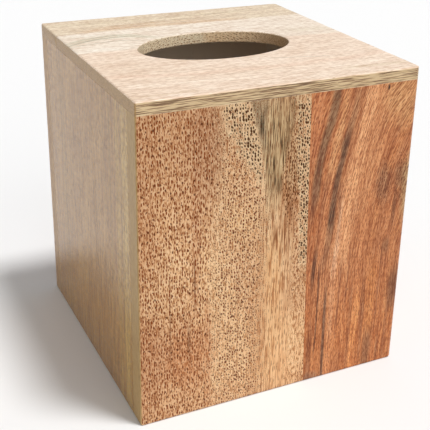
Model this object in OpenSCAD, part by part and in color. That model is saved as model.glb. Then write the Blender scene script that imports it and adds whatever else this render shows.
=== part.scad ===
// Slip-over cover for a cube carton of tissues: four walls and a top board, each glued up
// edge to edge from solid hardwood staves, butt-jointed, open underneath.
// Millimetres. The origin is the middle of the foot's plane, the front faces -Y and up is +Z.

/* [Cover] */
// Width from left to right
cover_w = 140; // [120:1:220]
// Depth from front to back
cover_d = 142; // [120:1:220]
// Height from the table to the top face
cover_h = 158; // [60:1:260]

/* [Boards] */
// Thickness of the front and back walls
front_back_t = 10; // [5:0.5:16]
// Thickness of the left and right walls
side_t = 10; // [5:0.5:16]
// Thickness of the top board
top_t = 6; // [3:0.5:16]

/* [Glue lines] */
// Width of the front wall's left stave at its top end
front_left_top_w = 82; // [40:0.5:100]
// Width of the front wall's left stave at the foot
front_left_foot_w = 86.5; // [40:0.5:100]
// Width of the back wall's left stave
back_left_w = 83; // [40:0.5:100]
// Width of the left wall's front stave
left_front_w = 48; // [20:0.5:80]
// Width of the right wall's front stave
right_front_w = 70; // [20:0.5:80]
// Depth of the top board's back stave
top_back_w = 28.5; // [10:0.5:32]

/* [Oval opening] */
// Length of the opening, from left to right
opening_l = 78.5; // [50:0.5:90]
// Width of the opening, from front to back
opening_w = 49; // [30:0.5:60]
// Distance of the opening's middle to the left of the cover's middle
opening_left = 2.5; // [0:0.5:6]
// Distance of the opening's middle in front of the cover's middle
opening_forward = 1; // [0:0.5:6]
// Easing of the opening's two rims
opening_ease = 0.6; // [0.2:0.1:1.2]

/* [Sanded edges] */
// Rounding of the two upright corners on the left
left_corner_r = 0.8; // [0.4:0.1:4]
// Rounding of the two upright corners on the right
right_corner_r = 2.5; // [0.4:0.1:4]
// Rounding round the top face
top_edge_r = 0.7; // [0.2:0.1:1.5]
// Rounding round the foot
foot_edge_r = 0.5; // [0.2:0.1:1.5]

/* [Hidden] */
// How far every cut runs past the wood that it cuts
overrun = 1;
$fn = 96;

wall_h = cover_h - top_t;
left_x = -cover_w / 2;
right_x = cover_w / 2;
front_y = -cover_d / 2;
back_y = cover_d / 2;
inner_left_x = left_x + side_t;
inner_right_x = right_x - side_t;
inner_front_y = front_y + front_back_t;
inner_back_y = back_y - front_back_t;

// Where the glue lines run
front_glue_top_x = left_x + front_left_top_w;
front_glue_foot_x = left_x + front_left_foot_w;
back_glue_x = left_x + back_left_w;
left_glue_y = inner_front_y + left_front_w;
right_glue_y = inner_front_y + right_front_w;
top_glue_y = back_y - top_back_w;

// The upright corners, anticlockwise from the back right one: [x, y, rounding]
CORNERS = [
    [right_x, back_y, right_corner_r],
    [left_x, back_y, left_corner_r],
    [left_x, front_y, left_corner_r],
    [right_x, front_y, right_corner_r]
];

// The edges of a level face, anticlockwise from the right one: [distance out, length]
EDGES = [
    [right_x, cover_d],
    [back_y, cover_w],
    [-left_x, cover_d],
    [-front_y, cover_w]
];

// Section of what sanding takes off an edge at the origin, with the wood towards -X and -Y
module sanded_off(r) {
    translate([-r, -r])
        difference() {
            square(r + overrun);
            circle(r);
        }
}

// What sanding takes off round a level face at height zero, with the wood below it
module sanded_rim(r) {
    for (i = [0 : len(EDGES) - 1])
        rotate(90 * i)
            translate([EDGES[i][0], 0])
                rotate([90, 0, 0])
                    linear_extrude(EDGES[i][1] + 2 * overrun, center = true)
                        sanded_off(r);
    for (i = [0 : len(CORNERS) - 1])
        if (CORNERS[i][2] > r)
            translate([CORNERS[i][0], CORNERS[i][1]])
                rotate(90 * i)
                    translate([-CORNERS[i][2], -CORNERS[i][2]])
                        rotate_extrude(angle = 90)
                            translate([CORNERS[i][2], 0])
                                sanded_off(r);
}

// What sanding takes off the glued-up cover: its upright corners, its top edges and its foot
module sanding() {
    for (i = [0 : len(CORNERS) - 1])
        translate([CORNERS[i][0], CORNERS[i][1], -overrun])
            rotate(90 * i)
                linear_extrude(cover_h + 2 * overrun)
                    sanded_off(CORNERS[i][2]);
    translate([0, 0, cover_h])
        sanded_rim(top_edge_r);
    mirror([0, 0, 1])
        sanded_rim(foot_edge_r);
}

// One rim of the opening, widening by the easing as it rises to height zero and past it
module eased_rim() {
    flare = opening_ease / (opening_w / 2);
    past = overrun / opening_ease;
    scale([opening_l / 2, opening_w / 2, opening_ease])
        translate([0, 0, -1])
            cylinder(h = 1 + past, r1 = 1, r2 = 1 + flare * (1 + past));
}

// The oval cut through the top board, with both rims eased
module opening_cut() {
    translate([-opening_left, -opening_forward, wall_h]) {
        translate([0, 0, -overrun])
            scale([opening_l / 2, opening_w / 2, top_t + 2 * overrun])
                cylinder(h = 1, r = 1);
        translate([0, 0, top_t])
            eased_rim();
        mirror([0, 0, 1])
            eased_rim();
    }
}

// A straight wall stave that fills the given stretch in X and in Y
module wall_stave(x_from, x_to, y_from, y_to) {
    difference() {
        translate([x_from, y_from, 0])
            cube([x_to - x_from, y_to - y_from, wall_h]);
        sanding();
    }
}

// A front wall stave with the outline given as [x, z] points
module front_stave(outline) {
    difference() {
        translate([0, inner_front_y, 0])
            rotate([90, 0, 0])
                linear_extrude(front_back_t)
                    polygon(outline);
        sanding();
    }
}

// A top board stave that runs the whole width, between two places in Y
module top_stave(y_from, y_to) {
    difference() {
        translate([left_x, y_from, wall_h])
            cube([cover_w, y_to - y_from, top_t]);
        opening_cut();
        sanding();
    }
}

module top_board_front_stave() {
    color([0.94, 0.86, 0.76])
        top_stave(front_y, top_glue_y);
}

module top_board_back_stave() {
    color([0.86, 0.77, 0.62])
        top_stave(top_glue_y, back_y);
}

module front_wall_left_stave() {
    color([0.78, 0.60, 0.43])
        front_stave([
            [left_x, 0],
            [front_glue_foot_x, 0],
            [front_glue_top_x, wall_h],
            [left_x, wall_h]
        ]);
}

module front_wall_right_stave() {
    color([0.77, 0.47, 0.31])
        front_stave([
            [front_glue_foot_x, 0],
            [right_x, 0],
            [right_x, wall_h],
            [front_glue_top_x, wall_h]
        ]);
}

module back_wall_left_stave() {
    color([0.75, 0.57, 0.41])
        wall_stave(left_x, back_glue_x, inner_back_y, back_y);
}

module back_wall_right_stave() {
    color([0.70, 0.52, 0.37])
        wall_stave(back_glue_x, right_x, inner_back_y, back_y);
}

module left_wall_front_stave() {
    color([0.71, 0.62, 0.48])
        wall_stave(left_x, inner_left_x, inner_front_y, left_glue_y);
}

module left_wall_back_stave() {
    color([0.73, 0.64, 0.52])
        wall_stave(left_x, inner_left_x, left_glue_y, inner_back_y);
}

module right_wall_front_stave() {
    color([0.76, 0.58, 0.42])
        wall_stave(inner_right_x, right_x, inner_front_y, right_glue_y);
}

module right_wall_back_stave() {
    color([0.72, 0.50, 0.35])
        wall_stave(inner_right_x, right_x, right_glue_y, inner_back_y);
}

top_board_front_stave();
top_board_back_stave();
front_wall_left_stave();
front_wall_right_stave();
back_wall_left_stave();
back_wall_right_stave();
left_wall_front_stave();
left_wall_back_stave();
right_wall_front_stave();
right_wall_back_stave();
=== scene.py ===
"""Looks for a slip-over cover for a cube carton of tissues, glued up from hardwood staves.

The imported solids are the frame. Each stave is shaped again in their place with its sanded
edges, and its wood runs right through it, so that its faces, its end grain and the wall of
the opening belong to one piece of wood. The scene is in metres. Lengths in the wood and in
the shapes are in millimetres, and the wood's colours are as seen, 0 to 255.
"""
import math

import bpy
from mathutils import Matrix, Vector, noise


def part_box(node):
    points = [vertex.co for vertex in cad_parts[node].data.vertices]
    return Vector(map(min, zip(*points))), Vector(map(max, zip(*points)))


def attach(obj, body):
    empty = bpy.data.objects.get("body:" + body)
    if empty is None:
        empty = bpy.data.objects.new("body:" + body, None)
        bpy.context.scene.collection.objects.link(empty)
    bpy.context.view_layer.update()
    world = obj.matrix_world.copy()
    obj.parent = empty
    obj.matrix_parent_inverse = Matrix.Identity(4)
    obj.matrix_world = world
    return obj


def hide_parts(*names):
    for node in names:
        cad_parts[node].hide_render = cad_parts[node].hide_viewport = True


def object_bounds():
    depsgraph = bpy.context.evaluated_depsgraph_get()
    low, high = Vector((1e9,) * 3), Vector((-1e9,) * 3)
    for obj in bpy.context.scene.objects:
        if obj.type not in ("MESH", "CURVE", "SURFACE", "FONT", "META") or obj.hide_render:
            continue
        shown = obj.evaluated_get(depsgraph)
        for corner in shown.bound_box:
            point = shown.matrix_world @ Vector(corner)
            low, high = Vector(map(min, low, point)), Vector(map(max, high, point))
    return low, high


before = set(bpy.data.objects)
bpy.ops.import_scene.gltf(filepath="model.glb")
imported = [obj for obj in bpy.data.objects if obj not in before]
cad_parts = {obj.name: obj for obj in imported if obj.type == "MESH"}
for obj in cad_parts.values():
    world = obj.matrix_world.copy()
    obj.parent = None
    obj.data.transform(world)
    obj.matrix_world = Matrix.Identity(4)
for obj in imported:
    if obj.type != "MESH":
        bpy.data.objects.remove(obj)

MM = 0.001
MM_PER_METRE = 1000
CAD_BOX = [list(corner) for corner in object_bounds()]


# Camera

PHOTO_SIDE_PX = 430
FOCAL_LENGTH_PX = 911.8
PRINCIPAL_POINT_PX = (230.8, 169.5)
SENSOR_MM = 36
CAMERA_PLACE = (-0.18776, -0.39722, 0.27418)
CAMERA_HEADING_DEG = 26.28
CAMERA_TILT_DEG = -22.67
CAMERA_ROLL_DEG = 1.33
CLIP_START = 0.01


def add_camera():
    """The camera at the photograph's place, with the shift that its framing needs."""
    data = bpy.data.cameras.new("photo_camera")
    data.sensor_width = SENSOR_MM
    data.lens = FOCAL_LENGTH_PX / PHOTO_SIDE_PX * SENSOR_MM
    middle = PHOTO_SIDE_PX / 2
    data.shift_x = (middle - PRINCIPAL_POINT_PX[0]) / PHOTO_SIDE_PX
    data.shift_y = (PRINCIPAL_POINT_PX[1] - middle) / PHOTO_SIDE_PX
    data.clip_start = CLIP_START
    camera = bpy.data.objects.new("photo_camera", data)
    camera.matrix_world = (
        Matrix.Translation(CAMERA_PLACE)
        @ Matrix.Rotation(math.radians(-CAMERA_HEADING_DEG), 4, "Z")
        @ Matrix.Rotation(math.radians(90 + CAMERA_TILT_DEG), 4, "X")
        @ Matrix.Rotation(math.radians(CAMERA_ROLL_DEG), 4, "Z")
    )
    bpy.context.scene.collection.objects.link(camera)
    bpy.context.scene.camera = camera


# Nodes

MIX_UNDER, MIX_OVER, MIX_RESULT = 6, 7, 2  # a Mix node's sockets for colours
SCATTER = 0.7  # how far the points of a cell texture stray from a grid
FLAT_LINE = 1e-6  # the least height of a curve, so that it can be divided by


def linear(colour):
    """A colour as seen, 0 to 255, as the RGBA that a socket takes."""
    def channel(c):
        c /= 255
        return c / 12.92 if c <= 0.04045 else ((c + 0.055) / 1.055) ** 2.4
    return (*(channel(c) for c in colour), 1)


class Value:
    """A number that varies over a surface: a node's output, with arithmetic."""

    def __init__(self, nodes, socket):
        self.nodes = nodes
        self.socket = socket

    def __add__(self, other):
        return self.nodes.math("ADD", self, other)

    def __sub__(self, other):
        return self.nodes.math("SUBTRACT", self, other)

    def __rsub__(self, other):
        return self.nodes.math("SUBTRACT", other, self)

    def __mul__(self, other):
        return self.nodes.math("MULTIPLY", self, other)

    def __truediv__(self, other):
        return self.nodes.math("DIVIDE", self, other)

    def __abs__(self):
        return self.nodes.math("ABSOLUTE", self)

    def at_least(self, other):
        return self.nodes.math("MAXIMUM", self, other)

    def step(self, low, high):
        """0 up to low and 1 from high, smoothly; the other way round if high is lower."""
        made = self.nodes.add(
            "ShaderNodeMapRange", {"Value": self, "From Min": low, "From Max": high},
            interpolation_type="SMOOTHSTEP")
        return Value(self.nodes, made.outputs["Result"])


class Nodes:
    """Adds nodes to one tree."""

    def __init__(self, tree):
        self.tree = tree

    def add(self, kind, inputs=None, **settings):
        """A new node, with its own settings and what its inputs are fed."""
        made = self.tree.nodes.new(kind)
        for name, value in settings.items():
            setattr(made, name, value)
        for name, value in (inputs or {}).items():
            self.feed(made.inputs[name], value)
        return made

    def feed(self, socket, value):
        """Sets a socket to a plain value, or links it to what varies."""
        if isinstance(value, Value):
            value = value.socket
        if isinstance(value, bpy.types.NodeSocket):
            self.tree.links.new(value, socket)
        else:
            socket.default_value = value

    def math(self, operation, first, second=0.0):
        made = self.add("ShaderNodeMath", {0: first, 1: second}, operation=operation)
        return Value(self, made.outputs[0])

    def vector(self, x, y, z):
        return self.add("ShaderNodeCombineXYZ", {"X": x, "Y": y, "Z": z}).outputs[0]

    def split(self, vector, letters):
        """The vector's numbers in the order of the letters."""
        made = self.add("ShaderNodeSeparateXYZ", {0: vector})
        return [Value(self, made.outputs["xyz".index(letter)]) for letter in letters]

    def mix(self, share, under, over, blend="MIX"):
        """One colour over another, by a share."""
        made = self.add("ShaderNodeMix", data_type="RGBA", blend_type=blend)
        self.feed(made.inputs["Factor"], share)
        self.feed(made.inputs[MIX_UNDER], under)
        self.feed(made.inputs[MIX_OVER], over)
        return made.outputs[MIX_RESULT]

    def noise(self, place, detail=2.0, roughness=0.5):
        made = self.add(
            "ShaderNodeTexNoise",
            {"Vector": place, "Scale": 1.0, "Detail": detail, "Roughness": roughness})
        return Value(self, made.outputs["Fac"])

    def cells(self, across, along):
        """How far the nearest of many scattered points is, in both directions, and that
        point's own lot."""
        made = self.add(
            "ShaderNodeTexVoronoi",
            {"Vector": self.vector(across, along, 0.0), "Scale": 1.0, "Randomness": SCATTER},
            voronoi_dimensions="2D")
        point = self.split(made.outputs["Position"], "xy")
        lots = self.add("ShaderNodeSeparateColor", {"Color": made.outputs["Color"]})
        return across - point[0], along - point[1], Value(self, lots.outputs["Red"])

    def length(self, x, y):
        """How far the point (x, y) is from (0, 0)."""
        made = self.add("ShaderNodeVectorMath", {0: self.vector(x, y, 0.0)}, operation="LENGTH")
        return Value(self, made.outputs["Value"])

    def curve(self, value, points):
        """The height of a smooth line through points (place, height) at value's place."""
        places = [p[0] for p in points]
        heights = [p[1] for p in points]
        first, last = min(places), max(places)
        low, high = min(heights), max(heights)
        reach = max(high - low, FLAT_LINE)
        made = self.add("ShaderNodeFloatCurve", {"Value": (value - first) / (last - first)})
        line = made.mapping.curves[0].points
        while len(line) < len(points):
            line.new(0.5, 0.5)
        for knot, (place, height) in zip(line, sorted(points)):
            knot.location = ((place - first) / (last - first), (height - low) / reach)
            knot.handle_type = "AUTO_CLAMPED"
        made.mapping.use_clip = False
        made.mapping.update()
        return Value(self, made.outputs["Value"]) * reach + low


# Wood

SEED_ACROSS, SEED_ALONG = 7.31, 3.17  # how far apart two seeds are in a texture
END_GRAIN = (0.65, 0.75)  # how far a face looks along the grain: still a side, already an end
BARE_SIDE = (0.4, 0.8)  # how far a face looks inward: still oiled, already bare
BARE_COLOUR = (248, 234, 216)
FIBRE_SIZE = (1.5, 22)  # how wide and how long fibres are
FRAY_SIZE = (1.3, 4)  # and the fraying along the edges of patches
HEART_AWAY, HEART_STEP = 40, 5  # the tree's middle: how far off, and how much more by seed
RING_WIDTH, RING_DRIFT = 5, 300  # a yearly ring's width, and the length over which it drifts
RING_FLATTENED, RING_SEED = 1.4, 1.7  # how flat rings lie, and how far apart two seeds' are
CLOUD_SIZE = (24, 90)
TWO_TONES = (0.3, 0.7)  # where in a noise the one tone ends and the other begins
DARK_PART = (0.52, 0.37)  # where in a noise its dark part begins and is full
LIGHT_PART = (0.49, 0.64)
PORE_STRAY, PORE_STRAY_SIZE = 0.35, (1.6, 2.4)  # how far rows of pores wander, in spacings
PORE_LEAST, PORE_SPREAD = 0.45, 1.1  # the smallest pore, and how much larger they get
NO_PORE = 0.001  # keeps a pore of no size from being divided by
PORE_EDGE = (1.25, 0.75)  # where a pore begins and is full, in its own reach
HALO_EDGE = (2.4, 1.0)
FIBRE_HEIGHT = 0.25  # as a share of a pore's depth, which is RELIEF_METRES at most
RELIEF_METRES = 0.0001
FACE_RELIEF, EDGE_RELIEF = 0.3, 0.08
FIBRE_ROUGHNESS, PORE_ROUGHNESS = 0.1, 0.25
OIL_IOR = 1.5
STRIPE_JITTER = 1.2  # how far fibres carry a stripe's edge to and fro
LEFT_FACE, LEFT_RIM = -69.9, -69.3  # x on the left side: where its own tone is full, and ends


class Wood:
    """The wood of one stave, painted step by step in its own directions.

    across is across the grain in the stave's broad face, along is along the grain and deep
    is through the stave, all in millimetres of the cover's frame.
    """

    def __init__(self, name, directions, seed):
        self.material = bpy.data.materials.new(name)
        self.material.use_nodes = True
        tree = self.material.node_tree
        tree.nodes.clear()
        self.nodes = Nodes(tree)
        source = self.nodes.add("ShaderNodeTexCoord").outputs
        places = self.nodes.split(source["Object"], directions)
        self.across, self.along, self.deep = (place * MM_PER_METRE for place in places)
        facing = self.nodes.split(source["Normal"], directions)
        self.end_grain = abs(facing[1]).step(*END_GRAIN)
        self.outlook = facing[2]
        self.seed = seed
        self.grain = self.across
        self.pore = None
        self.colour = None
        self.add_fibres()

    def at_scale(self, wide, long, seed=0):
        """The wood's place, measured in spots so wide and so long."""
        return self.nodes.vector(
            self.grain / wide + (self.seed + seed) * SEED_ACROSS,
            self.along / long + (self.seed + seed) * SEED_ALONG,
            self.deep / wide)

    def texture(self, wide, long, seed=0, **settings):
        """Noise in spots so wide and so long."""
        return self.nodes.noise(self.at_scale(wide, long, seed), **settings)

    def lean(self, line, share):
        """Lets the grain lean: line is how far it has moved at each place along, and share is
        how much of that it does."""
        self.grain = self.across - self.nodes.curve(self.along, line) * share
        self.add_fibres()

    def add_fibres(self):
        """Lays the fibres along the grain, as it runs now."""
        self.fibres = self.texture(*FIBRE_SIZE, detail=4, roughness=0.6)
        self.fray = self.texture(*FRAY_SIZE, seed=32, detail=3, roughness=0.6)

    def ground(self, light, dark, streaks=0.5, clouds=0.5):
        """The colour that everything else lies on, between two tones: yearly rings, seen
        as streaks along the wood and as arcs on its ends, and clouds."""
        ring = self.nodes.length(
            self.grain + HEART_AWAY + self.seed * HEART_STEP, self.deep * RING_FLATTENED)
        place = self.nodes.vector(
            ring / RING_WIDTH, self.along / RING_DRIFT, self.seed * RING_SEED)
        years = self.nodes.noise(place, detail=3).step(*TWO_TONES)
        broad = self.texture(*CLOUD_SIZE, seed=2, detail=3).step(*TWO_TONES)
        tone = years * streaks + broad * clouds
        self.colour = self.nodes.mix(tone / (streaks + clouds), linear(light), linear(dark))

    def lay(self, mask, colour, strength, blend="MIX"):
        """Lays a colour over what is there, where the mask is 1."""
        self.colour = self.nodes.mix(mask * strength, self.colour, linear(colour), blend)

    def spot(self, at, size):
        """Where a soft-edged patch is: at and size are (across, along)."""
        soft, ragged = 0.6, 0.8
        ring = self.nodes.length(
            (self.across - at[0]) / size[0], (self.along - at[1]) / size[1])
        return (ring + (self.fray - 0.5) * ragged).step(1 + soft, 1 - soft)

    def stretch(self, first, last, fade):
        """Where the wood between two places along it is."""
        return (self.along.step(first - fade, first + fade)
                * self.along.step(last + fade, last - fade))

    def band(self, line, width, soft=0.5):
        """Where a band is, along line, [(along, across), ...], fading at both ends."""
        ragged, fade = 0.6, 8
        middle = self.nodes.curve(self.along, line)
        away = abs(self.across - middle) / (width / 2) + (self.fibres - 0.5) * ragged
        return away.step(1 + soft, 1 - soft) * self.stretch(line[0][0], line[-1][0], fade)

    def between(self, low_side, high_side, soft=1.2, ragged=5.0, fade=3):
        """Where the wood between two lines is, [(along, across), ...] each."""
        stray = (self.fray - 0.5) * ragged
        low = self.nodes.curve(self.along, low_side)
        high = self.nodes.curve(self.along, high_side)
        return ((self.across - low + stray).step(-soft, soft)
                * (high - self.across + stray).step(-soft, soft)
                * self.stretch(low_side[0][0], low_side[-1][0], fade))

    def bare_inside(self, side):
        """Bleaches the inner face, which is sanded but not oiled, and says where it is. Side
        is 1 where that face looks along the deep axis and -1 where it looks back."""
        inside = (self.outlook * side).step(*BARE_SIDE)
        self.lay(inside, BARE_COLOUR, 0.95)
        return inside

    def left_edge(self, colour):
        """Gives the stave's cut left edge its own tone, and says where the rest is."""
        face = self.across.step(LEFT_FACE, LEFT_RIM)
        self.lay(1 - face, colour, 0.9)
        return face

    def stripes(self, colours, strength):
        """Colours across the leaning grain, [(place, colour), ...]."""
        first, last = colours[0][0], colours[-1][0]
        jitter = (self.fibres - 0.5) * STRIPE_JITTER
        ramp = self.nodes.add(
            "ShaderNodeValToRGB", {"Fac": (self.grain + jitter - first) / (last - first)})
        stops = ramp.color_ramp.elements
        while len(stops) < len(colours):
            stops.new(0.5)
        for stop, (place, colour) in zip(stops, colours):
            stop.position = (place - first) / (last - first)
            stop.color = linear(colour)
        self.colour = self.nodes.mix(strength, self.colour, ramp.outputs["Color"])

    def paint(self, bands, spots=()):
        """Lays bands and spots, each as the tables below give them."""
        for line, width, colour, strength in bands:
            self.lay(self.band(line, width), colour, strength)
        for at, size, colour, strength in spots:
            self.lay(self.spot(at, size), colour, strength)

    def pores(self, spacing, length, size, colour, strength=0.9, where=1.0, seed=0,
              long=1.7, tilt=0.0, halo=None, glow=0.5):
        """Open pores, spacing apart across the grain and length along it: dashes on the
        sides of the wood, dots on its ends. A halo is the paler wood round each."""
        wander = self.texture(*PORE_STRAY_SIZE, seed + 40, detail=0)
        stray = (wander - 0.5) * PORE_STRAY
        on_side = self.along / length
        on_end = (self.grain + self.deep) / spacing
        beside, ahead, lot = self.nodes.cells(
            (self.grain - self.deep) / spacing + stray + (self.seed + seed) * SEED_ACROSS,
            on_side + (on_end - on_side) * self.end_grain + (self.seed + seed) * SEED_ALONG)
        drawn_out = (1 - self.end_grain) * (long - 1) + 1
        near = self.nodes.length(beside + ahead * tilt, ahead / drawn_out)
        reach = (lot * PORE_SPREAD + PORE_LEAST) * size
        if halo:
            self.lay((near / reach).step(*HALO_EDGE) * where, halo, glow)
        mask = (near / (reach * where + NO_PORE)).step(*PORE_EDGE)
        self.lay(mask, colour, strength)
        self.pore = mask if self.pore is None else self.pore.at_least(mask)

    def shade(self, texture, dark, light, amount, where=1.0):
        """Darkens by a tint where the texture is low and brightens where it is high."""
        self.lay(texture.step(*DARK_PART) * where, dark, amount, "MULTIPLY")
        self.lay(texture.step(*LIGHT_PART) * where, light, amount, "SCREEN")

    def hair_tone(self, dark, light, amount, where=1.0, long=4.0, wide=0.6, seed=31):
        """Hair lines along the wood."""
        self.shade(self.texture(wide, long, seed=seed), dark, light, amount, where)

    def mottle(self, wide, long, dark, light, amount, where=1.0, seed=20):
        """Small clouds, so wide and so long."""
        self.shade(self.texture(wide, long, seed=seed), dark, light, amount, where)

    def finish(self, roughness=0.3, relief=FACE_RELIEF, specular=0.5, tint=(255, 255, 255)):
        """Ends the material: gloss, pores that are open, and fibres that stand up. tint is
        the colour of what it mirrors."""
        height = self.fibres * FIBRE_HEIGHT - self.pore
        bump = self.nodes.add(
            "ShaderNodeBump",
            {"Height": height, "Strength": relief, "Distance": RELIEF_METRES})
        gloss = (self.fibres * FIBRE_ROUGHNESS + self.pore * PORE_ROUGHNESS
                 + (roughness - FIBRE_ROUGHNESS / 2))
        surface = self.nodes.add(
            "ShaderNodeBsdfPrincipled",
            {"Base Color": self.colour, "Roughness": gloss, "Normal": bump.outputs[0],
             "IOR": OIL_IOR, "Specular IOR Level": specular, "Specular Tint": linear(tint)})
        out = self.nodes.add("ShaderNodeOutputMaterial", {"Surface": surface.outputs[0]})
        out.is_active_output = True
        return self.material


# Bands of another tone: line [(along, across), ...], width, colour, strength.
# Spots of another tone: (across, along), (half width, half length), colour, strength.
# Sides of a zone, and the lines that a kind of pore follows: [(along, across), ...].

FRONT_LEFT_BANDS = (
    ([(0, -66), (80, -66), (152, -67)], 10, (190, 132, 88), 0.5),
    ([(95, -58), (152, -58)], 8, (222, 172, 124), 0.5),
    ([(8, -25), (40, -28), (62, -34), (92, -48)], 26, (236, 192, 144), 0.75),
    ([(86, -20), (104, -21)], 16, (230, 184, 134), 0.6),
    ([(8, -10), (45, -11), (75, -9), (90, -12)], 9, (206, 146, 96), 0.6),
    ([(5, -3), (30, -2), (60, -3), (85, -4)], 8, (230, 180, 128), 0.7),
    ([(56, -43), (152, -43)], 4, (190, 126, 84), 0.45),
    ([(0, -36), (60, -37)], 3, (196, 126, 80), 0.5),
)
FRONT_LEFT_SPOTS = (
    ((-52, 148), (32, 28), (186, 130, 88), 0.6),
    ((-37, 134), (7, 24), (164, 106, 70), 0.55),
    ((-46, 32), (13, 16), (198, 128, 80), 0.7),
    ((-66, 34), (9, 20), (186, 124, 82), 0.55),
    ((-60, 68), (12, 14), (230, 188, 142), 0.45),
    ((7, 22), (11, 20), (240, 194, 144), 0.9),
)
FRONT_LEFT_BROWN = (
    ([(104, 4.5), (126, 4.5), (152, 5)], 7, (182, 140, 98), 0.7),
    ([(82, 4), (108, 4)], 8, (180, 120, 76), 0.75),
)
FRONT_LEFT_LINES = (
    ([(58, -43), (80, -43.5)], 0.8, (112, 66, 40), 0.8),
    ([(30, -55), (74, -55.5)], 0.7, (124, 74, 44), 0.6),
    ([(34, -46), (46, -46)], 1.6, (104, 60, 36), 0.7),
    ([(0, -21), (70, -21.5)], 0.7, (160, 94, 52), 0.5),
)
KHAKI_LEFT = [
    (112, -12), (120, -16), (127, -21), (134, -25), (140, -28), (148, -31), (153, -33)]
KHAKI_RIGHT = [(112, -9), (122, -10), (130, -12), (140, -14), (153, -17)]
GREY_LEFT = [(104, -9), (118, -9.5), (130, -12), (140, -14), (153, -18)]
GREY_RIGHT = [(104, -1), (118, 0), (130, 2), (140, 4), (153, 6)]
DARKEST_LEFT = [(130, -12), (140, -14.5), (153, -18)]
DARKEST_RIGHT = [(130, -9), (140, -10), (153, -9)]
STRIP_LEFT = [(66, 10), (100, 8.5), (125, 6), (153, 5)]
STRIP_RIGHT = [(66, 16), (153, 16)]
LONG_PORES = [(-5, -3), (60, -2), (110, -4), (160, -7)]
ROUND_PORES = [(-5, -20), (60, -22), (125, -19), (160, -22)]


def front_left_wood():
    """Tan wood full of pores. Near its top it has a khaki patch, a greyish streak and, along
    the glue line, a khaki strip. Long pores run down from the streak, past a patch that has
    few pores."""
    wood = Wood("front_left_wood", "xzy", 1)
    wood.ground((229, 186, 142), (209, 154, 107), streaks=0.6, clouds=0.4)
    wood.paint(FRONT_LEFT_BANDS, FRONT_LEFT_SPOTS)
    khaki = wood.between(KHAKI_LEFT, KHAKI_RIGHT, soft=2.6, ragged=7, fade=5)
    strip = wood.between(STRIP_LEFT, STRIP_RIGHT, ragged=4, fade=8)
    grey = wood.between(GREY_LEFT, GREY_RIGHT, ragged=2, fade=14)
    darkest = wood.between(DARKEST_LEFT, DARKEST_RIGHT, ragged=2, fade=8)
    lines = wood.band(LONG_PORES, 17, soft=0.3)
    quiet = wood.spot((8, 24), (9, 32))
    pale = khaki.at_least(strip)
    dots = wood.band(ROUND_PORES, 26).at_least(strip).at_least(khaki) * (1 - grey * 0.8)
    dashes = (1 - lines.at_least(dots) * 0.9) * (1 - quiet * 0.65)

    wood.lay(khaki, (212, 174, 134), 0.85)
    wood.lay(strip, (210, 164, 122), 0.8)
    wood.lay(grey, (174, 140, 98), 0.85)
    wood.lay(darkest, (124, 98, 74), 0.85)
    wood.paint(FRONT_LEFT_BROWN)
    face = wood.left_edge((184, 152, 96))

    calm = face * 0.75 + 0.25
    wood.hair_tone((210, 184, 168), (100, 78, 56), 0.25, 1 - lines,
                   long=12.0, wide=1.0, seed=35)
    wood.hair_tone((180, 141, 106), (128, 112, 92), 0.85, (1 - lines) * calm, long=2.4)
    wood.hair_tone((192, 156, 126), (104, 92, 72), 0.9, lines * (1 - grey) * (1 - quiet * 0.5),
                   long=12.0)
    wood.hair_tone((210, 166, 136), (104, 84, 60), 0.4, quiet, long=9.0, wide=0.8, seed=39)
    wood.hair_tone((164, 132, 106), (116, 96, 70), 0.8, lines * wood.stretch(72, 112, 10),
                   long=16.0, wide=0.5, seed=36)
    wood.hair_tone((104, 88, 74), (128, 112, 86), 1.0, grey, long=10.0, wide=0.5)
    wood.hair_tone((150, 132, 116), (96, 84, 64), 0.6, grey, long=16.0, wide=0.8, seed=37)
    wood.paint(FRONT_LEFT_LINES)
    wood.bare_inside(1)

    wood.pores(1.3, 1.75, 0.28, (70, 30, 0), 1.0, dots * pale, long=1.2, tilt=0.2,
               halo=(236, 210, 168), glow=0.6)
    wood.pores(1.3, 1.7, 0.21, (122, 50, 4), 1.0, (dots - pale).at_least(0), seed=9,
               tilt=0.25, long=1.3, halo=(232, 208, 166), glow=0.5)
    wood.pores(1.25, 2.1, 0.19, (124, 54, 8), 1.0, dashes * face, seed=3, tilt=0.1, long=1.6,
               halo=(230, 204, 162), glow=0.2)
    wood.pores(2.7, 3.6, 0.1, (84, 32, 6), 0.9, (1 - lines.at_least(quiet) * 0.7) * face,
               seed=23, long=1.2)
    wood.pores(1.1, 5.0, 0.14, (120, 64, 28), 0.7, lines, seed=6, long=1.6)
    wood.pores(1.2, 1.8, 0.22, (92, 44, 12), 1.0, wood.spot((4, 114), (4.5, 24)), seed=12)
    relief = face * (FACE_RELIEF - EDGE_RELIEF) + EDGE_RELIEF
    return wood.finish(relief=relief, specular=0.22, tint=(255, 238, 196))


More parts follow.
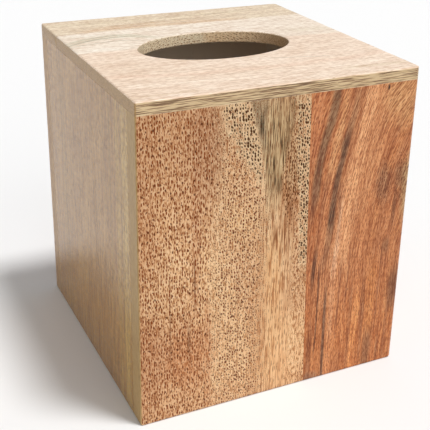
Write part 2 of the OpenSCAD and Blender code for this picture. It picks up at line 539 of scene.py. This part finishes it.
FRONT_RIGHT_BANDS = (
    ([(98, 17), (118, 18.5), (130, 21), (140, 24), (156, 26)], 4.5, (128, 94, 64), 0.9),
    ([(90, 16), (104, 17), (124, 19)], 2.2, (128, 76, 46), 0.7),
    ([(120, 14), (156, 17)], 6, (208, 132, 84), 0.6),
    ([(110, 24), (130, 28), (152, 31)], 4, (232, 170, 114), 0.6),
    ([(60, 34), (80, 35), (100, 37), (122, 40), (138, 43), (152, 45)], 7, (244, 180, 126), 0.7),
    ([(86, 40), (120, 46), (152, 52)], 12, (228, 164, 112), 0.4),
    ([(62, 23.6), (80, 26), (93, 27), (108, 28.5), (120, 31), (135, 33.5)],
     3.2, (104, 70, 48), 0.9),
    ([(132, 34), (152, 37)], 3, (176, 126, 86), 0.7),
    ([(84, 31), (104, 30.5)], 1.6, (130, 82, 54), 0.6),
    ([(40, 24), (64, 24), (92, 30)], 4, (226, 156, 104), 0.5),
    ([(54, 18.2), (62, 18.5), (72, 19.2)], 2, (92, 52, 30), 0.85),
    ([(14, 21.6), (40, 22), (62, 21.6)], 0.9, (104, 60, 36), 0.85),
    ([(-6, 27.2), (20, 26.6), (50, 26.4)], 1.6, (110, 78, 58), 0.85),
    ([(0, 18.5), (30, 18.5)], 3.5, (140, 82, 44), 0.6),
    ([(56, 30), (66, 30.5), (78, 32)], 2.6, (238, 184, 142), 0.6),
    ([(-6, 44), (26, 44.5), (44, 45.5)], 4, (236, 158, 92), 0.7),
    ([(20, 48.2), (52, 48.4)], 1.8, (150, 88, 50), 0.6),
    ([(-6, 52.5), (22, 53.5)], 5, (144, 98, 64), 0.7),
    ([(20, 53), (60, 53.5)], 5, (222, 144, 78), 0.5),
    ([(-6, 35), (12, 35)], 7, (166, 100, 58), 0.5),
    ([(80, 62), (96, 62.5)], 2, (120, 74, 44), 0.7),
    ([(-6, 59.6), (16, 59.6)], 1.4, (146, 88, 52), 0.6),
    ([(40, 38), (70, 39)], 0.9, (150, 92, 58), 0.6),
    ([(26, 33.5), (66, 34.5)], 1.3, (158, 100, 66), 0.6),
    ([(0, 41.5), (50, 41.5)], 1.7, (162, 98, 58), 0.6),
    ([(4, 49), (40, 49.5)], 1.2, (146, 88, 54), 0.6),
    ([(24, 57), (72, 58)], 1.0, (154, 94, 58), 0.6),
    ([(0, 63.5), (50, 64.5)], 1.3, (158, 96, 58), 0.6),
    ([(20, 30), (52, 30.5)], 2.6, (222, 162, 116), 0.5),
    ([(62, 29.5), (98, 32.5)], 1.4, (238, 190, 148), 0.6),
)
FRONT_RIGHT_SPOTS = (
    ((27, 88), (1.7, 8), (98, 66, 44), 0.75),
    ((30.6, 124), (1.4, 5), (92, 60, 38), 0.6),
    ((54.5, 102), (3.6, 10), (146, 100, 68), 0.7),
    ((64, 105), (3, 6), (146, 104, 70), 0.7),
    ((69, 98), (3.5, 16), (188, 158, 112), 0.8),
    ((59.5, 68), (2, 4), (134, 84, 50), 0.7),
    ((67, 42), (4, 12), (122, 76, 48), 0.8),
    ((64, 146), (12, 14), (222, 172, 116), 0.5),
    ((53, 150), (0.6, 1.4), (40, 24, 16), 0.95),
    ((20, 1), (5, 3), (136, 106, 84), 0.6),
)
# How far the grain has moved: [(along, moved), ...]. Stripes across it: [(place, colour), ...].
FRONT_RIGHT_LEAN = [(0, 0), (60, 0), (80, 1.5), (105, 5), (130, 10), (152, 16)]
FRONT_RIGHT_STRIPES = [
    (8, (206, 132, 78)), (14, (186, 112, 64)), (17, (196, 118, 66)), (19, (172, 106, 64)),
    (21, (214, 140, 88)), (24, (178, 114, 70)), (26, (184, 116, 70)), (29, (226, 160, 110)),
    (32, (224, 152, 100)), (35, (200, 126, 76)), (38, (206, 134, 84)), (41, (186, 114, 66)),
    (44, (222, 148, 94)), (47, (184, 112, 64)), (50, (206, 132, 78)), (53, (180, 110, 64)),
    (57, (204, 130, 78)), (60, (184, 112, 66)), (63, (210, 138, 84)), (66, (188, 116, 68)),
    (72, (200, 132, 84)),
]


def front_right_wood():
    """Orange-red wood with fine pores, whose streaks lean to the right as they rise."""
    wood = Wood("front_right_wood", "xzy", 2)
    lean = wood.across.step(10, 34) * 0.6 + wood.across.step(46, 72) * 0.6 + 0.4
    wood.lean(FRONT_RIGHT_LEAN, lean)
    wood.ground((212, 142, 90), (180, 108, 64), streaks=0.8, clouds=0.2)
    wood.stripes(FRONT_RIGHT_STRIPES, 0.75)
    wood.lay(wood.along.step(70, 20), (214, 128, 58), 0.35)
    wood.paint(FRONT_RIGHT_BANDS, FRONT_RIGHT_SPOTS)
    wood.hair_tone((200, 172, 154), (96, 68, 46), 0.45, long=30.0, wide=1.0, seed=35)
    wood.hair_tone((186, 152, 132), (108, 82, 60), 0.55, long=3.0, wide=0.55)
    wood.hair_tone((188, 154, 134), (112, 84, 62), 0.6, long=12.0, wide=0.55, seed=38)
    knots = wood.spot((54.5, 102), (5, 12)).at_least(wood.spot((66, 104), (6, 14)))
    wood.pores(1.2, 2.0, 0.17, (92, 40, 14), 0.8, knots, seed=4)
    wood.bare_inside(1)
    wood.pores(1.1, 2.6, 0.13, (112, 50, 18), 0.7, tilt=-0.2, long=1.8)
    return wood.finish(specular=0.25)


LEFT_BANDS = (
    ([(-6, -56), (158, -57)], 9, (218, 180, 96), 0.6),
    ([(-6, -46), (158, -47)], 5, (212, 172, 90), 0.5),
    ([(-6, -36), (158, -37)], 2, (156, 118, 48), 0.4),
    ([(-6, -51.5), (158, -51.5)], 1.2, (146, 110, 48), 0.5),
    ([(-6, -29), (158, -28)], 1, (156, 118, 52), 0.4),
    ([(60, -13), (100, -14)], 5, (166, 118, 52), 0.4),
    ([(-6, 40), (158, 38)], 8, (180, 138, 68), 0.3),
)


def left_wood(name, seed):
    """Brown wood that the photograph shows under the haze of a low reflection."""
    wood = Wood(name, "yzx", seed)
    wood.ground((201, 151, 85), (183, 132, 71))
    wood.paint(LEFT_BANDS)
    wood.shade(wood.fibres, (196, 166, 148), (96, 76, 56), 0.35)
    wood.hair_tone((206, 184, 146), (104, 84, 42), 0.65, long=26.0, wide=0.9)
    wood.bare_inside(1)
    wood.pores(1.1, 3.4, 0.15, (92, 52, 18), 0.85, long=2.2)
    return wood.finish(0.13, relief=0.05, specular=0.7, tint=(255, 244, 208))


BACK_LEFT_BANDS = (
    ([(-6, -58), (80, -56), (158, -60)], 12, (190, 132, 88), 0.5),
    ([(-6, -38), (60, -36), (158, -40)], 16, (234, 190, 144), 0.5),
    ([(30, -20), (158, -18)], 4, (166, 108, 70), 0.5),
    ([(-6, -8), (90, -6), (158, -9)], 9, (224, 172, 124), 0.5),
    ([(60, 5), (158, 4)], 3, (150, 112, 78), 0.5),
)
BACK_RIGHT_BANDS = (
    ([(-6, 22), (60, 24), (158, 19)], 5, (140, 88, 56), 0.6),
    ([(-6, 33), (158, 35)], 8, (214, 148, 100), 0.5),
    ([(20, 45), (80, 47), (158, 44)], 2.5, (110, 70, 46), 0.6),
    ([(-6, 56), (158, 58)], 10, (176, 112, 72), 0.5),
)
RIGHT_FRONT_BANDS = (
    ([(-6, -50), (70, -48), (158, -51)], 12, (232, 190, 142), 0.5),
    ([(-6, -36), (60, -38), (158, -34)], 5, (176, 116, 76), 0.5),
    ([(20, -22), (90, -20), (158, -23)], 3, (150, 98, 62), 0.5),
    ([(-6, -10), (50, -12), (110, -8)], 10, (222, 168, 118), 0.5),
    ([(90, 3), (158, 4)], 6, (170, 116, 76), 0.5),
)
RIGHT_BACK_BANDS = (
    ([(-6, 18), (80, 21), (158, 16)], 6, (154, 98, 64), 0.6),
    ([(-6, 31), (70, 29), (158, 33)], 3, (112, 72, 48), 0.6),
    ([(-6, 38), (90, 37), (158, 40)], 8, (214, 154, 108), 0.5),
    ([(40, 50), (158, 52)], 5, (140, 92, 60), 0.5),
)


def far_wood(name, directions, seed, light, dark, bands):
    """Wood of the walls that the photograph doesn't show, of the same kinds as the front's."""
    wood = Wood(name, directions, seed)
    wood.ground(light, dark, streaks=0.7, clouds=0.3)
    wood.paint(bands)
    face = wood.left_edge((186, 148, 92))
    wood.hair_tone((200, 170, 150), (104, 80, 56), 0.5, long=30.0, wide=1.2, seed=35)
    wood.hair_tone((190, 156, 136), (116, 90, 66), 0.6, long=3.4)
    outside = 1 - wood.bare_inside(-1)
    wood.pores(1.15, 2.2, 0.17, (108, 50, 20), 0.9, face * outside, long=1.8)
    relief = face * (FACE_RELIEF - EDGE_RELIEF) + EDGE_RELIEF
    return wood.finish(relief=relief, specular=0.25)


TOP_FRONT_BANDS = (
    ([(-72, 21), (-64, 26), (-55, 29.5), (-42, 31), (-32, 27.5), (-24, 22)], 7,
     (206, 198, 168), 0.6),
    ([(-72, 20), (-62, 25), (-52, 28.5), (-40, 29.5), (-28, 25)], 1.2, (140, 126, 84), 0.7),
    ([(-68, 26), (-56, 31), (-44, 33), (-32, 31)], 1, (150, 136, 94), 0.6),
    ([(-72, 17.5), (-58, 21), (-44, 22.5), (-34, 19)], 1, (150, 140, 104), 0.55),
    ([(-66, 34), (-50, 36), (-36, 35)], 0.9, (170, 154, 116), 0.5),
    ([(-72, 9.5), (-45, 9)], 4, (250, 240, 224), 0.7),
    ([(-72, 37), (-30, 38), (20, 36)], 5, (248, 238, 220), 0.4),
    ([(-72, -8), (-40, -12), (0, -32), (30, -36), (72, -34)], 5, (248, 226, 204), 0.5),
    ([(-72, -34), (-20, -44), (30, -46), (72, -42)], 5, (232, 194, 164), 0.45),
    ([(8, -32), (25, -36), (40, -39.5)], 1, (186, 166, 138), 0.6),
    ([(-72, -50), (-10, -56), (72, -54)], 4, (250, 230, 208), 0.5),
    ([(36, -60), (72, -61.5)], 3.5, (212, 186, 146), 0.5),
    ([(-72, -65), (-38, -65.5)], 2, (216, 186, 148), 0.5),
    ([(42, 12), (72, 8)], 7, (222, 208, 178), 0.4),
)
TOP_BACK_BANDS = (
    ([(-56, 44.8), (-35, 46.8), (-10, 45.5), (32, 44.5)], 4, (204, 152, 92), 0.6),
    ([(-46, 50.5), (-22, 51.5), (12, 49)], 2.2, (210, 164, 106), 0.5),
    ([(-72, 62), (0, 60), (72, 63)], 5, (212, 192, 150), 0.4),
    ([(-72, 55), (-20, 57), (72, 54)], 3, (240, 222, 190), 0.4),
)
BLEACHED_FRONT = [(-75, 6), (-40, 5), (37, 0), (75, -2)]
BLEACHED_BACK = [(-75, 50), (75, 50)]
TOP_FACE = (157.7, 157.4)  # heights where the pale top face ends
LEFT_END_TOP = (157.6, 157.2)  # and where it does on the left end
FRONT_EDGE = (-69.5, -70.2)  # y where the front edge begins


def top_wood(name, seed, light, dark):
    """Pale wood, before its own bands and its finish."""
    wood = Wood(name, "yxz", seed)
    wood.ground(light, dark, streaks=0.7, clouds=0.3)
    return wood


def finish_top(wood):
    """Ends the wood of the top board: below its pale face the board is khaki, with long dark
    pores on its front edge and round ones in the opening and on its left end. The wall of the
    opening and the board's other cut edges, save its front edge and left end, are painted near
    white: partly the pale wood's own tone, partly painted light. Towards the right of the
    opening there is less of it, and it is darker at the right end."""
    wood.mottle(0.9, 6.0, (222, 206, 192), (120, 110, 96), 0.5)
    wood.hair_tone((222, 204, 186), (130, 120, 104), 0.6, long=13.0, wide=0.7)
    wood.pores(1.1, 4.0, 0.14, (156, 116, 74), 0.5, long=2.0)
    core = wood.deep.step(*TOP_FACE)
    front_edge = wood.across.step(*FRONT_EDGE)
    left_end = wood.along.step(LEFT_RIM, LEFT_FACE)
    hole = core * (1 - front_edge) * (1 - left_end)
    wood.lay(core, (202, 172, 126), 0.9)
    # Painted light: the wall of the opening and the other cut edges, save the front edge and
    # the left end, are painted near white, partly the pale wood's own tone and partly painted
    # light.
    wood.lay(hole, (255, 236, 202), 0.95)
    # Less of this painted light towards the right of the opening, and darker again at its right
    # end.
    wood.lay(hole * wood.along.step(0, 5), (250, 214, 168), 0.7)
    wood.lay(hole * wood.along.step(22, 38), (206, 162, 116), 0.6)
    wood.hair_tone((136, 114, 94), (104, 92, 72), 0.95, core * front_edge, long=14.0, wide=0.45)
    wood.mottle(0.8, 1.2, (214, 192, 166), (90, 80, 60), 0.5, hole)
    wood.pores(1.0, 10.0, 0.15, (108, 66, 32), 0.8, core * front_edge, seed=8, long=2.4)
    wood.bare_inside(-1)
    wood.pores(1.1, 1.4, 0.18, (150, 98, 50), 0.8, hole, seed=14)
    left_end = left_end * wood.deep.step(*LEFT_END_TOP)
    wood.lay(left_end, (176, 135, 72), 0.95)
    wood.mottle(0.9, 1.0, (206, 184, 156), (80, 66, 44), 0.5, left_end, seed=44)
    wood.pores(1.0, 1.0, 0.15, (128, 84, 44), 0.6, left_end, seed=45)
    return wood.finish()


def top_front_wood():
    """Pale pinkish wood, greyer towards its back, with arching lines at the left."""
    wood = top_wood("top_front_wood", 5, (242, 218, 194), (230, 202, 174))
    bleached = wood.between(BLEACHED_FRONT, BLEACHED_BACK)
    wood.lay(bleached, (236, 222, 202), 0.75)
    wood.paint(TOP_FRONT_BANDS)
    return finish_top(wood)


def top_back_wood():
    """Browner pale wood with two tan streaks."""
    wood = top_wood("top_back_wood", 6, (230, 211, 180), (214, 189, 152))
    wood.paint(TOP_BACK_BANDS)
    wood.mottle(0.8, 1.8, (212, 192, 168), (110, 98, 76), 0.6, seed=46)
    return finish_top(wood)


MATERIALS = {
    "top_board_front_stave": top_front_wood(),
    "top_board_back_stave": top_back_wood(),
    "front_wall_left_stave": front_left_wood(),
    "front_wall_right_stave": front_right_wood(),
    "back_wall_left_stave": far_wood(
        "back_left_wood", "xzy", 7, (222, 174, 128), (198, 144, 100), BACK_LEFT_BANDS),
    "back_wall_right_stave": far_wood(
        "back_right_wood", "xzy", 8, (210, 148, 100), (180, 116, 76), BACK_RIGHT_BANDS),
    "left_wall_front_stave": left_wood("left_front_wood", 9),
    "left_wall_back_stave": left_wood("left_back_wood", 10),
    "right_wall_front_stave": far_wood(
        "right_front_wood", "yzx", 11, (220, 172, 126), (194, 140, 98), RIGHT_FRONT_BANDS),
    "right_wall_back_stave": far_wood(
        "right_back_wood", "yzx", 12, (202, 146, 102), (176, 116, 78), RIGHT_BACK_BANDS),
}


# Shapes, in millimetres of the cover's frame

MESH_STEP = 2.0
ARC_STEPS = 6
HAIR_ARC_STEPS = 2  # for edges no rounder than HAIR_EDGE
HAIR_EDGE = 0.2
GLUE_EDGE = 0.07
JOINT_EDGE = 0.08
INNER_EDGE = 0.3
FOOT_EDGE = 0.5
TOP_EDGE = 0.7
LEFT_CORNER = 0.8
RIGHT_CORNER = 2.5
OPENING_EDGE = 0.6
SUPPORT = 0.25  # how far from a rounded edge the next points lie, so that flats stay flat
TOP_SPAN = 30  # about how wide the top is between its outline and its opening
SAME_PLACE = 4  # decimals in which two places along a stave are told apart


def node_box(name):
    """A solid's lowest and highest corners."""
    low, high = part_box(name)
    return list(low / MM), list(high / MM)


def round_in(distance, radius):
    """How far in a rounded edge lies, so far from the end that it rounds."""
    if distance >= radius:
        return 0.0
    return radius - math.sqrt(radius ** 2 - (radius - distance) ** 2)


def arc_steps(radius):
    """How many steps a rounded edge is made in: few where it is only a hair wide."""
    return ARC_STEPS if radius > HAIR_EDGE else HAIR_ARC_STEPS


def shares(length, step=MESH_STEP):
    """Shares of a flat stretch, evenly spaced, with one more close to each end."""
    count = max(1, round((length - 2 * SUPPORT) / step))
    edge = SUPPORT / length
    return [0.0, *(edge + (1 - 2 * edge) * i / count for i in range(count + 1)), 1.0]


def levels(first, last, first_radii, last_radii):
    """Places along a stave, close together where its two ends are rounded."""
    places = {first, last}
    for end, inward, radii in ((first, 1, first_radii), (last, -1, last_radii)):
        for radius in radii:
            for i in range(1, arc_steps(radius) + 1):
                angle = math.pi / 2 * i / arc_steps(radius)
                way_in = inward * radius * (1 - math.cos(angle))
                places.add(round(end + way_in, SAME_PLACE))
    start = max(first_radii)
    flat = last - max(last_radii) - first - start
    places.update(first + start + flat * share for share in shares(flat))
    return sorted(places)


def corner_arc(x, y, radius, quarter):
    """Points round one corner of a section, anticlockwise; quarter 0 is the (+, +) one."""
    turn = math.pi / 2 * quarter
    cos, sin = round(math.cos(turn)), round(math.sin(turn))
    middle_x = x - radius * (cos - sin)
    middle_y = y - radius * (sin + cos)
    steps = arc_steps(radius)
    return [
        (middle_x + radius * math.cos(turn + math.pi / 2 * i / steps),
         middle_y + radius * math.sin(turn + math.pi / 2 * i / steps))
        for i in range(steps + 1)
    ]


def section(x0, x1, y0, y1, radii, side_shares):
    """A rounded rectangle, anticlockwise from the (+, +) corner."""
    corners = [(x1, y1), (x0, y1), (x0, y0), (x1, y0)]
    points = []
    for i in range(4):
        points += corner_arc(*corners[i], radii[i], i)
        start = points[-1]
        end = corner_arc(*corners[(i + 1) % 4], radii[(i + 1) % 4], (i + 1) % 4)[0]
        for share in side_shares[i % 2][1:-1]:
            points.append((start[0] + (end[0] - start[0]) * share,
                           start[1] + (end[1] - start[1]) * share))
    return points


def grid_faces(loops, size, closed):
    """The faces between one loop of points and the next, as numbers of their points."""
    faces = []
    for k in range(loops if closed else loops - 1):
        below, above = k * size, (k + 1) % loops * size
        for i in range(size):
            j = (i + 1) % size
            faces.append((below + i, below + j, above + j, above + i))
    return faces


def stave(axis, low, high, corners, first_end, last_end, sides=None):
    """A stave along one axis, as points and faces.

    corners rounds its four long edges and each end's list rounds the edges of that end:
    the two sides across the next axis, low and high, and then across the one after it.
    sides gives the section's four sides at a place along, where they aren't the box's.
    """
    b, c = (axis + 1) % 3, (axis + 2) % 3
    box_sides = (low[b], high[b], low[c], high[c])
    side_shares = [shares(high[b] - low[b]), shares(high[c] - low[c])]
    points = []
    loops = 0
    for place in levels(low[axis], high[axis], first_end, last_end):
        b0, b1, c0, c1 = sides(place) if sides else box_sides
        inward = [
            max(round_in(place - low[axis], first), round_in(high[axis] - place, last))
            for first, last in zip(first_end, last_end)
        ]
        for across, through in section(b0 + inward[0], b1 - inward[1],
                                       c0 + inward[2], c1 - inward[3], corners, side_shares):
            point = [0.0, 0.0, 0.0]
            point[axis], point[b], point[c] = place, across, through
            points.append(point)
        loops += 1
    size = len(points) // loops
    faces = grid_faces(loops, size, closed=False)
    faces.append(tuple(reversed(range(size))))
    faces.append(tuple(range((loops - 1) * size, loops * size)))
    return points, faces


def oval_point(angle, half_length, half_width):
    """Where a line from the oval's middle, at this angle, meets it."""
    reach = half_length * half_width / math.hypot(
        half_width * math.cos(angle), half_length * math.sin(angle))
    return Vector((reach * math.cos(angle), reach * math.sin(angle)))


def pierced_board(low, high, corners, edges, middle, half_length, half_width):
    """A board with an oval opening, as points and faces: loops from its outer foot, up,
    over its top face, down the opening and back under it. edges are the roundings of its
    top face's right, back, left and front edges."""
    outline = [Vector(p) for p in section(
        low[0], high[0], low[1], high[1], corners,
        [shares(high[0] - low[0]), shares(high[1] - low[1])])]
    count = len(outline)
    outward, rounding = [], []
    for i in range(count):
        run = outline[(i + 1) % count] - outline[i - 1]
        normal = Vector((run.y, -run.x)).normalized()
        outward.append(normal)
        weights = [max(0.0, way) ** 2 for way in (normal.x, normal.y, -normal.x, -normal.y)]
        rounding.append(sum(w * e for w, e in zip(weights, edges)) / sum(weights))
    middle = Vector(middle)
    rim, rim_out = [], []
    for point in outline:
        away = point - middle
        angle = math.atan2(away.y, away.x)
        spot = oval_point(angle, half_length, half_width)
        rim.append(middle + spot)
        slope = Vector((spot.x / half_length ** 2, spot.y / half_width ** 2))
        rim_out.append(slope.normalized())
    foot, head = low[2], high[2]
    turns = [math.pi / 2 * k / ARC_STEPS for k in range(ARC_STEPS + 1)]
    over = shares(TOP_SPAN)[1:-1]
    loops = []

    def add(make_point):
        loops.append([make_point(i) for i in range(count)])

    def at(spot, height):
        return (spot.x, spot.y, height)

    def spread(share, height, edge):
        """A point of the flat top or foot, at a share of the way in to the opening."""
        def make_point(i):
            start = outline[i] - outward[i] * (rounding[i] if edge else JOINT_EDGE)
            end = rim[i] + rim_out[i] * OPENING_EDGE
            return at(start + (end - start) * share, height)
        return make_point

    add(lambda i: at(outline[i] - outward[i] * JOINT_EDGE, foot))
    add(lambda i: at(outline[i], foot + JOINT_EDGE))
    for share in shares(head - foot - JOINT_EDGE - TOP_EDGE)[1:-1]:
        add(lambda i: at(outline[i], foot + JOINT_EDGE
                         + (head - rounding[i] - foot - JOINT_EDGE) * share))
    for turn in turns:
        add(lambda i: at(outline[i] - outward[i] * rounding[i] * (1 - math.cos(turn)),
                         head - rounding[i] * (1 - math.sin(turn))))
    for share in over:
        add(spread(share, head, edge=True))
    for turn in turns:
        add(lambda i: at(rim[i] + rim_out[i] * OPENING_EDGE * (1 - math.sin(turn)),
                         head - OPENING_EDGE * (1 - math.cos(turn))))
    for share in shares(head - foot - 2 * OPENING_EDGE, MESH_STEP / 2)[1:-1]:
        add(lambda i: at(rim[i], head - OPENING_EDGE
                         - (head - foot - 2 * OPENING_EDGE) * share))
    for turn in turns:
        add(lambda i: at(rim[i] + rim_out[i] * OPENING_EDGE * (1 - math.cos(turn)),
                         foot + OPENING_EDGE * (1 - math.sin(turn))))
    for share in reversed(over):
        add(spread(share, foot, edge=False))
    points = [point for loop in loops for point in loop]
    return points, grid_faces(len(loops), count, closed=True)


# Pieces

ALL_GLUED = (GLUE_EDGE,) * 4
TOP_END = (JOINT_EDGE,) * 4
TOP_BOARD = "top_board_front_stave"
OPENING = {"middle": (-2.5, -1.0), "half_length": 39.25, "half_width": 24.5}


def front_glue_x(height):
    """Where the front wall's leaning glue line is at a height."""
    foot = node_box("front_wall_left_stave")[1]
    head = node_box("front_wall_right_stave")[0]
    return foot[0] + (head[0] - foot[0]) * height / foot[2]


def stave_shapes():
    """Points and faces of every stave, by the name of the solid that it stands for."""
    glue, inner, foot, corner = GLUE_EDGE, INNER_EDGE, FOOT_EDGE, JOINT_EDGE
    front_left, front_right = "front_wall_left_stave", "front_wall_right_stave"
    shapes = {
        TOP_BOARD: pierced_board(
            *node_box(TOP_BOARD), (glue, glue, LEFT_CORNER, RIGHT_CORNER),
            (TOP_EDGE, glue, TOP_EDGE, TOP_EDGE), **OPENING),
        "top_board_back_stave": stave(
            0, *node_box("top_board_back_stave"), (TOP_EDGE, glue, glue, corner),
            (glue, LEFT_CORNER, corner, TOP_EDGE), (glue, RIGHT_CORNER, corner, TOP_EDGE)),
    }
    box = node_box(front_left)
    shapes[front_left] = stave(
        2, *box, (glue, glue, LEFT_CORNER, glue), (foot, glue, foot, inner), TOP_END,
        lambda z: (box[0][0], front_glue_x(z), box[0][1], box[1][1]))
    right_box = node_box(front_right)
    shapes[front_right] = stave(
        2, *right_box, (glue, glue, glue, RIGHT_CORNER), (glue, foot, foot, inner), TOP_END,
        lambda z: (front_glue_x(z), right_box[1][0], right_box[0][1], right_box[1][1]))
    shapes["back_wall_left_stave"] = stave(
        2, *node_box("back_wall_left_stave"), (glue, LEFT_CORNER, glue, glue),
        (foot, glue, inner, foot), TOP_END)
    shapes["back_wall_right_stave"] = stave(
        2, *node_box("back_wall_right_stave"), (RIGHT_CORNER, glue, glue, glue),
        (glue, foot, inner, foot), TOP_END)
    for name in ("left_wall_front_stave", "left_wall_back_stave"):
        shapes[name] = stave(2, *node_box(name), ALL_GLUED, (foot, inner, glue, glue), TOP_END)
    for name in ("right_wall_front_stave", "right_wall_back_stave"):
        shapes[name] = stave(2, *node_box(name), ALL_GLUED, (inner, foot, glue, glue), TOP_END)
    return shapes


WAVE, WAVE_LENGTH = 0.04, 24
NICK, NICK_LENGTH = 0.12, 5
NICK_PLACE = Vector((9, 4, 2))  # where in the noise the nicks are taken from
NEAR_SIDE = 1.2
SHARP_DEG = 40


def hand_sanded(point, low, high):
    """Where a point ends up once the cover is sanded by hand: one near the outside goes a
    hair in on the flats and a little more along the edges. The foot stays flat."""
    spot = Vector(point)
    wave = 0.5 + 0.5 * noise.noise(spot / WAVE_LENGTH)
    close = []
    for axis in range(3):
        for side, inward in ((low[axis], 1), (high[axis], -1)):
            foot = axis == 2 and inward == 1
            if not foot and abs(point[axis] - side) < NEAR_SIDE:
                spot[axis] += inward * WAVE * wave
                close.append((axis, inward))
    if len(close) > 1:
        nick = max(0.0, noise.noise(Vector(point) / NICK_LENGTH + NICK_PLACE))
        for axis, inward in close:
            spot[axis] += inward * NICK * nick
    return spot


def add_piece(name, points, faces, material):
    """One visible piece, sanded by hand. Its object sits at the origin."""
    low, high = (Vector(corner) / MM for corner in CAD_BOX)
    mesh = bpy.data.meshes.new(name)
    mesh.from_pydata([hand_sanded(p, low, high) * MM for p in points], [], faces)
    mesh.materials.append(material)
    mesh.polygons.foreach_set("use_smooth", [True] * len(mesh.polygons))
    mesh.set_sharp_from_angle(angle=math.radians(SHARP_DEG))
    mesh.update()
    piece = bpy.data.objects.new(name, mesh)
    bpy.context.scene.collection.objects.link(piece)
    return piece


def add_staves():
    """Puts every stave in the place of its solid."""
    for node, (points, faces) in stave_shapes().items():
        piece = add_piece(node + "_wood", points, faces, MATERIALS[node])
        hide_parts(node)
        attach(piece, "root")


# Stage and light

FLOOR_RADIUS = 4.0
FLOOR_SIDES = 96
FLOOR_DROP = 0.0002
FLOOR_COLOUR = (0.86, 0.86, 0.86, 1)
FLOOR_ROUGHNESS = 0.7
SKY_LIGHT = 0.33
WHITE = (1, 1, 1, 1)


def add_floor():
    """The plain pale floor, a hair below the cover's foot."""
    bpy.ops.mesh.primitive_circle_add(
        vertices=FLOOR_SIDES, radius=FLOOR_RADIUS, fill_type="NGON",
        location=(0, 0, -FLOOR_DROP))
    floor = bpy.context.object
    floor.name = "floor"
    material = bpy.data.materials.new("pale_floor")
    material.use_nodes = True
    surface = material.node_tree.nodes["Principled BSDF"]
    surface.inputs["Base Color"].default_value = FLOOR_COLOUR
    surface.inputs["Roughness"].default_value = FLOOR_ROUGHNESS
    floor.data.materials.append(material)


def light_world():
    """An even sky: it lights at one level, and is plain white where it is looked at."""
    world = bpy.data.worlds.new("studio")
    bpy.context.scene.world = world
    world.use_nodes = True
    world.node_tree.nodes.clear()
    nodes = Nodes(world.node_tree)
    path = nodes.add("ShaderNodeLightPath").outputs
    seen = (Value(nodes, path["Is Camera Ray"])
            .at_least(path["Is Glossy Ray"]).at_least(path["Is Transmission Ray"]))
    sky = nodes.add("ShaderNodeBackground",
                    {"Color": WHITE, "Strength": seen * (1 - SKY_LIGHT) + SKY_LIGHT})
    nodes.add("ShaderNodeOutputWorld", {"Surface": sky.outputs[0]})


def add_sun(name, strength, from_azimuth, elevation, spread):
    """A soft far lamp, its angles in degrees. Azimuth 0 is the front of the cover and 90 its
    right side."""
    data = bpy.data.lights.new(name, "SUN")
    data.energy = strength
    data.angle = math.radians(spread)
    lamp = bpy.data.objects.new(name, data)
    lamp.rotation_euler = (
        math.radians(90 - elevation), 0, math.radians(from_azimuth))
    bpy.context.scene.collection.objects.link(lamp)


add_camera()
add_staves()
add_floor()
light_world()
add_sun("key", strength=2.35, from_azimuth=46, elevation=71.5, spread=12)
add_sun("front_fill", strength=0.75, from_azimuth=12, elevation=22, spread=60)
bpy.context.scene.view_settings.view_transform = "Standard"
